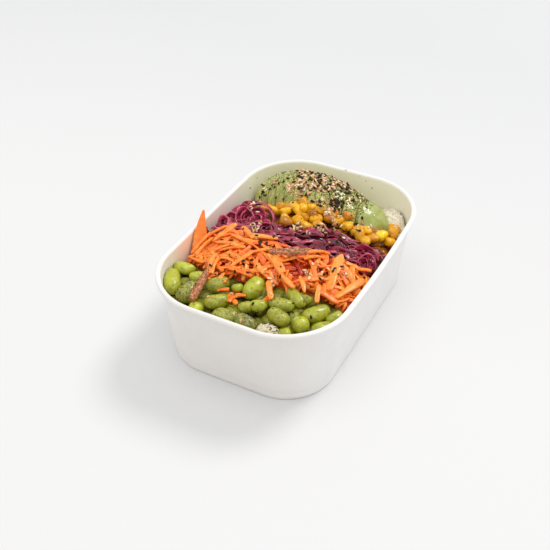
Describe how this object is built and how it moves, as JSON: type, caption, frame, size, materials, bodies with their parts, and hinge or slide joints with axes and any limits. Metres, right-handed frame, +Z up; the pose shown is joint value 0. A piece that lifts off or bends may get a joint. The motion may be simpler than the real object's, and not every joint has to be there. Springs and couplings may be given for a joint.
{
  "type": "poke bowl",
  "caption": "Poke bowl: an oblong paper bowl with round corners, filled with rice under rows of edamame, carrot shreds, red cabbage, corn and fanned avocado with sesame.",
  "frame": {"origin": "middle of the underside of the paper bowl, on the surface it stands on", "axes": "+Y along the bowl's long side from the edamame end to the avocado end, +X to the right across it, +Z up"},
  "size_m": [0.1206, 0.172, 0.0648],
  "materials": {
    "paper_bowl": "matte coated paper",
    "rice": "moist",
    "edamame": "moist, glossy",
    "carrot": "moist",
    "cabbage": "wet, glossy",
    "corn": "moist, glossy",
    "avocado": "soft, moist"
  },
  "bodies": {
    "root": {"bowl": "paper_bowl", "edamame": "edamame", "carrot": "carrot", "cabbage": "cabbage", "corn": "corn", "rice": "rice", "avocado_slice_01": "avocado", "avocado_slice_02": "avocado", "avocado_slice_03": "avocado", "avocado_slice_04": "avocado", "avocado_slice_05": "avocado", "avocado_slice_06": "avocado", "avocado_slice_07": "avocado", "avocado_slice_08": "avocado", "avocado_slice_09": "avocado", "avocado_slice_10": "avocado", "avocado_slice_11": "avocado"}
  },
  "joints": []
}
